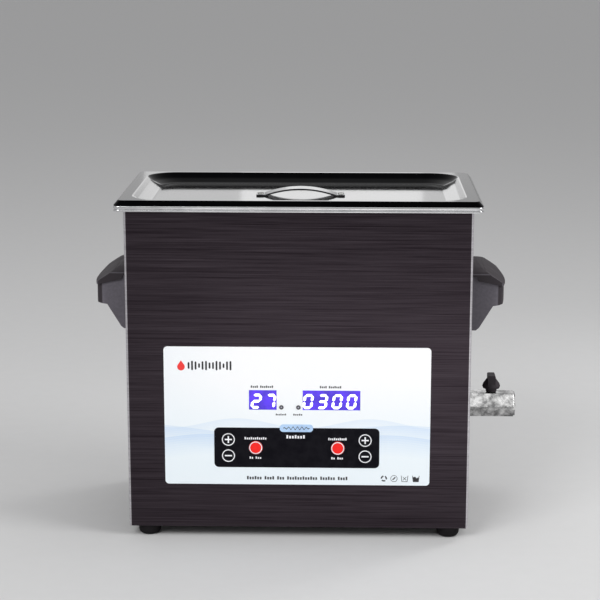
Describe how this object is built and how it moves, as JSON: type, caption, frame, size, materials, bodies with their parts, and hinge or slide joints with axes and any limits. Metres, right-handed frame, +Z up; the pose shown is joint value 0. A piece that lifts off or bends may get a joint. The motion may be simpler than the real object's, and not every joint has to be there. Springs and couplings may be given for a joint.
{
  "type": "ultrasonic cleaner",
  "caption": "Bench-top heated ultrasonic cleaner: black steel housing, drawn tank with lift-off lid and basket, digital front panel, side handles and drain valve.",
  "frame": {"origin": "on the table under the centre of the housing, at the middle of the four foot recesses", "axes": "+X to the right seen from the control panel, +Y to the rear, +Z up"},
  "size_m": [0.4165, 0.1972, 0.3275],
  "materials": {
    "black_steel": "satin",
    "bright_steel": "polished",
    "black_mirror": "mirror",
    "zinc_hardware": "satin",
    "nickel": "polished",
    "rubber": "matte",
    "silicone": "matte",
    "black_plastic": "satin",
    "switch_red": "gloss",
    "overlay_film": "satin",
    "key_film": "satin",
    "display_blue": "gloss",
    "lamp_lens": "gloss",
    "white_key": "satin",
    "red_key": "satin",
    "circuit_board": "satin",
    "ribbon": "matte",
    "lead_red": "matte",
    "aluminium": "machined",
    "ceramic": "matte",
    "heater_film": "matte",
    "white_seal": "matte",
    "fuse_glass": "gloss"
  },
  "bodies": {
    "housing": {"case_wrap": "black_steel", "rear_panel": "black_steel", "base_plate": "black_steel", "case_screws": "zinc_hardware", "rubber_feet": "rubber", "foot_screws": "zinc_hardware", "foot_nuts": "zinc_hardware", "tank": "bright_steel", "rim_seal": "rubber", "heater_pads": "heater_film", "temperature_probe": "zinc_hardware", "front_masses": "aluminium", "piezo_rings": "ceramic", "back_masses": "zinc_hardware", "transducer_bolts": "zinc_hardware", "front_overlay": "overlay_film", "key_film": "key_film", "display_windows": "display_blue", "display_modules": "black_plastic", "indicator_leds": "lamp_lens", "control_board": "circuit_board", "small_screws": "zinc_hardware", "tact_switches": "black_plastic", "ribbon_cable": "ribbon", "generator_board": "circuit_board", "power_parts": "black_plastic", "heatsink": "aluminium", "lead_wires": "lead_red", "fan_frame": "black_plastic", "inlet_socket": "black_plastic", "inlet_pins": "zinc_hardware", "switch_frame": "black_plastic", "left_handle": "black_plastic", "right_handle": "black_plastic", "handle_screws": "zinc_hardware", "drain_fitting": "zinc_hardware", "drain_nut": "zinc_hardware", "drain_hose": "silicone", "valve_body": "nickel", "valve_washer": "rubber", "valve_nut": "zinc_hardware", "valve_seats": "white_seal"},
    "lid": {"lid_shell": "black_mirror", "lid_handle": "bright_steel", "lid_screws": "zinc_hardware"},
    "basket": {"basket_floor": "bright_steel", "basket_sides": "bright_steel", "basket_frame": "bright_steel"},
    "valve_lever": {"valve_ball": "nickel", "valve_handle": "black_plastic"},
    "fan": {"fan_rotor": "black_plastic"},
    "fuse_carrier": {"fuse_drawer": "black_plastic", "fuse": "fuse_glass"},
    "rocker": {"switch_rocker": "switch_red"},
    "key_temp_up": {"temp_up_key": "white_key"},
    "key_temp_down": {"temp_down_key": "white_key"},
    "key_heat": {"heat_key": "red_key"},
    "key_sonic": {"sonic_key": "red_key"},
    "key_time_up": {"time_up_key": "white_key"},
    "key_time_down": {"time_down_key": "white_key"}
  },
  "joints": [
    {"name": "lid_lift", "type": "slide", "parent": "housing", "child": "lid", "axis": [0, 0, 1], "range_m": [0, 0.3]},
    {"name": "basket_lift", "type": "slide", "parent": "housing", "child": "basket", "axis": [0, 0, 1], "range_m": [0, 0.15]},
    {"name": "valve_turn", "type": "hinge", "parent": "housing", "child": "valve_lever", "pos_m": [0.193, 0.045, 0.118], "axis": [0, 0, 1], "range_deg": [0, 90]},
    {"name": "fan_spin", "type": "hinge", "parent": "housing", "child": "fan", "pos_m": [0.075, 0.08, 0.062], "axis": [0, 1, 0], "continuous": true},
    {"name": "fuse_slide", "type": "slide", "parent": "housing", "child": "fuse_carrier", "axis": [0, 1, 0], "range_m": [0, 0.018]},
    {"name": "rocker_tilt", "type": "hinge", "parent": "housing", "child": "rocker", "pos_m": [-0.055, 0.088, 0.052], "axis": [1, 0, 0], "range_deg": [-18, 0]},
    {"name": "temp_up_press", "type": "slide", "parent": "housing", "child": "key_temp_up", "axis": [0, 1, 0], "range_m": [0, 0.0006], "stiffness_N_per_m": 400},
    {"name": "temp_down_press", "type": "slide", "parent": "housing", "child": "key_temp_down", "axis": [0, 1, 0], "range_m": [0, 0.0006], "stiffness_N_per_m": 400},
    {"name": "heat_press", "type": "slide", "parent": "housing", "child": "key_heat", "axis": [0, 1, 0], "range_m": [0, 0.0006], "stiffness_N_per_m": 400},
    {"name": "sonic_press", "type": "slide", "parent": "housing", "child": "key_sonic", "axis": [0, 1, 0], "range_m": [0, 0.0006], "stiffness_N_per_m": 400},
    {"name": "time_up_press", "type": "slide", "parent": "housing", "child": "key_time_up", "axis": [0, 1, 0], "range_m": [0, 0.0006], "stiffness_N_per_m": 400},
    {"name": "time_down_press", "type": "slide", "parent": "housing", "child": "key_time_down", "axis": [0, 1, 0], "range_m": [0, 0.0006], "stiffness_N_per_m": 400}
  ],
  "couplings": [
    {"joint": "basket_lift", "follows": "lid_lift", "ratio": 0.5}
  ]
}
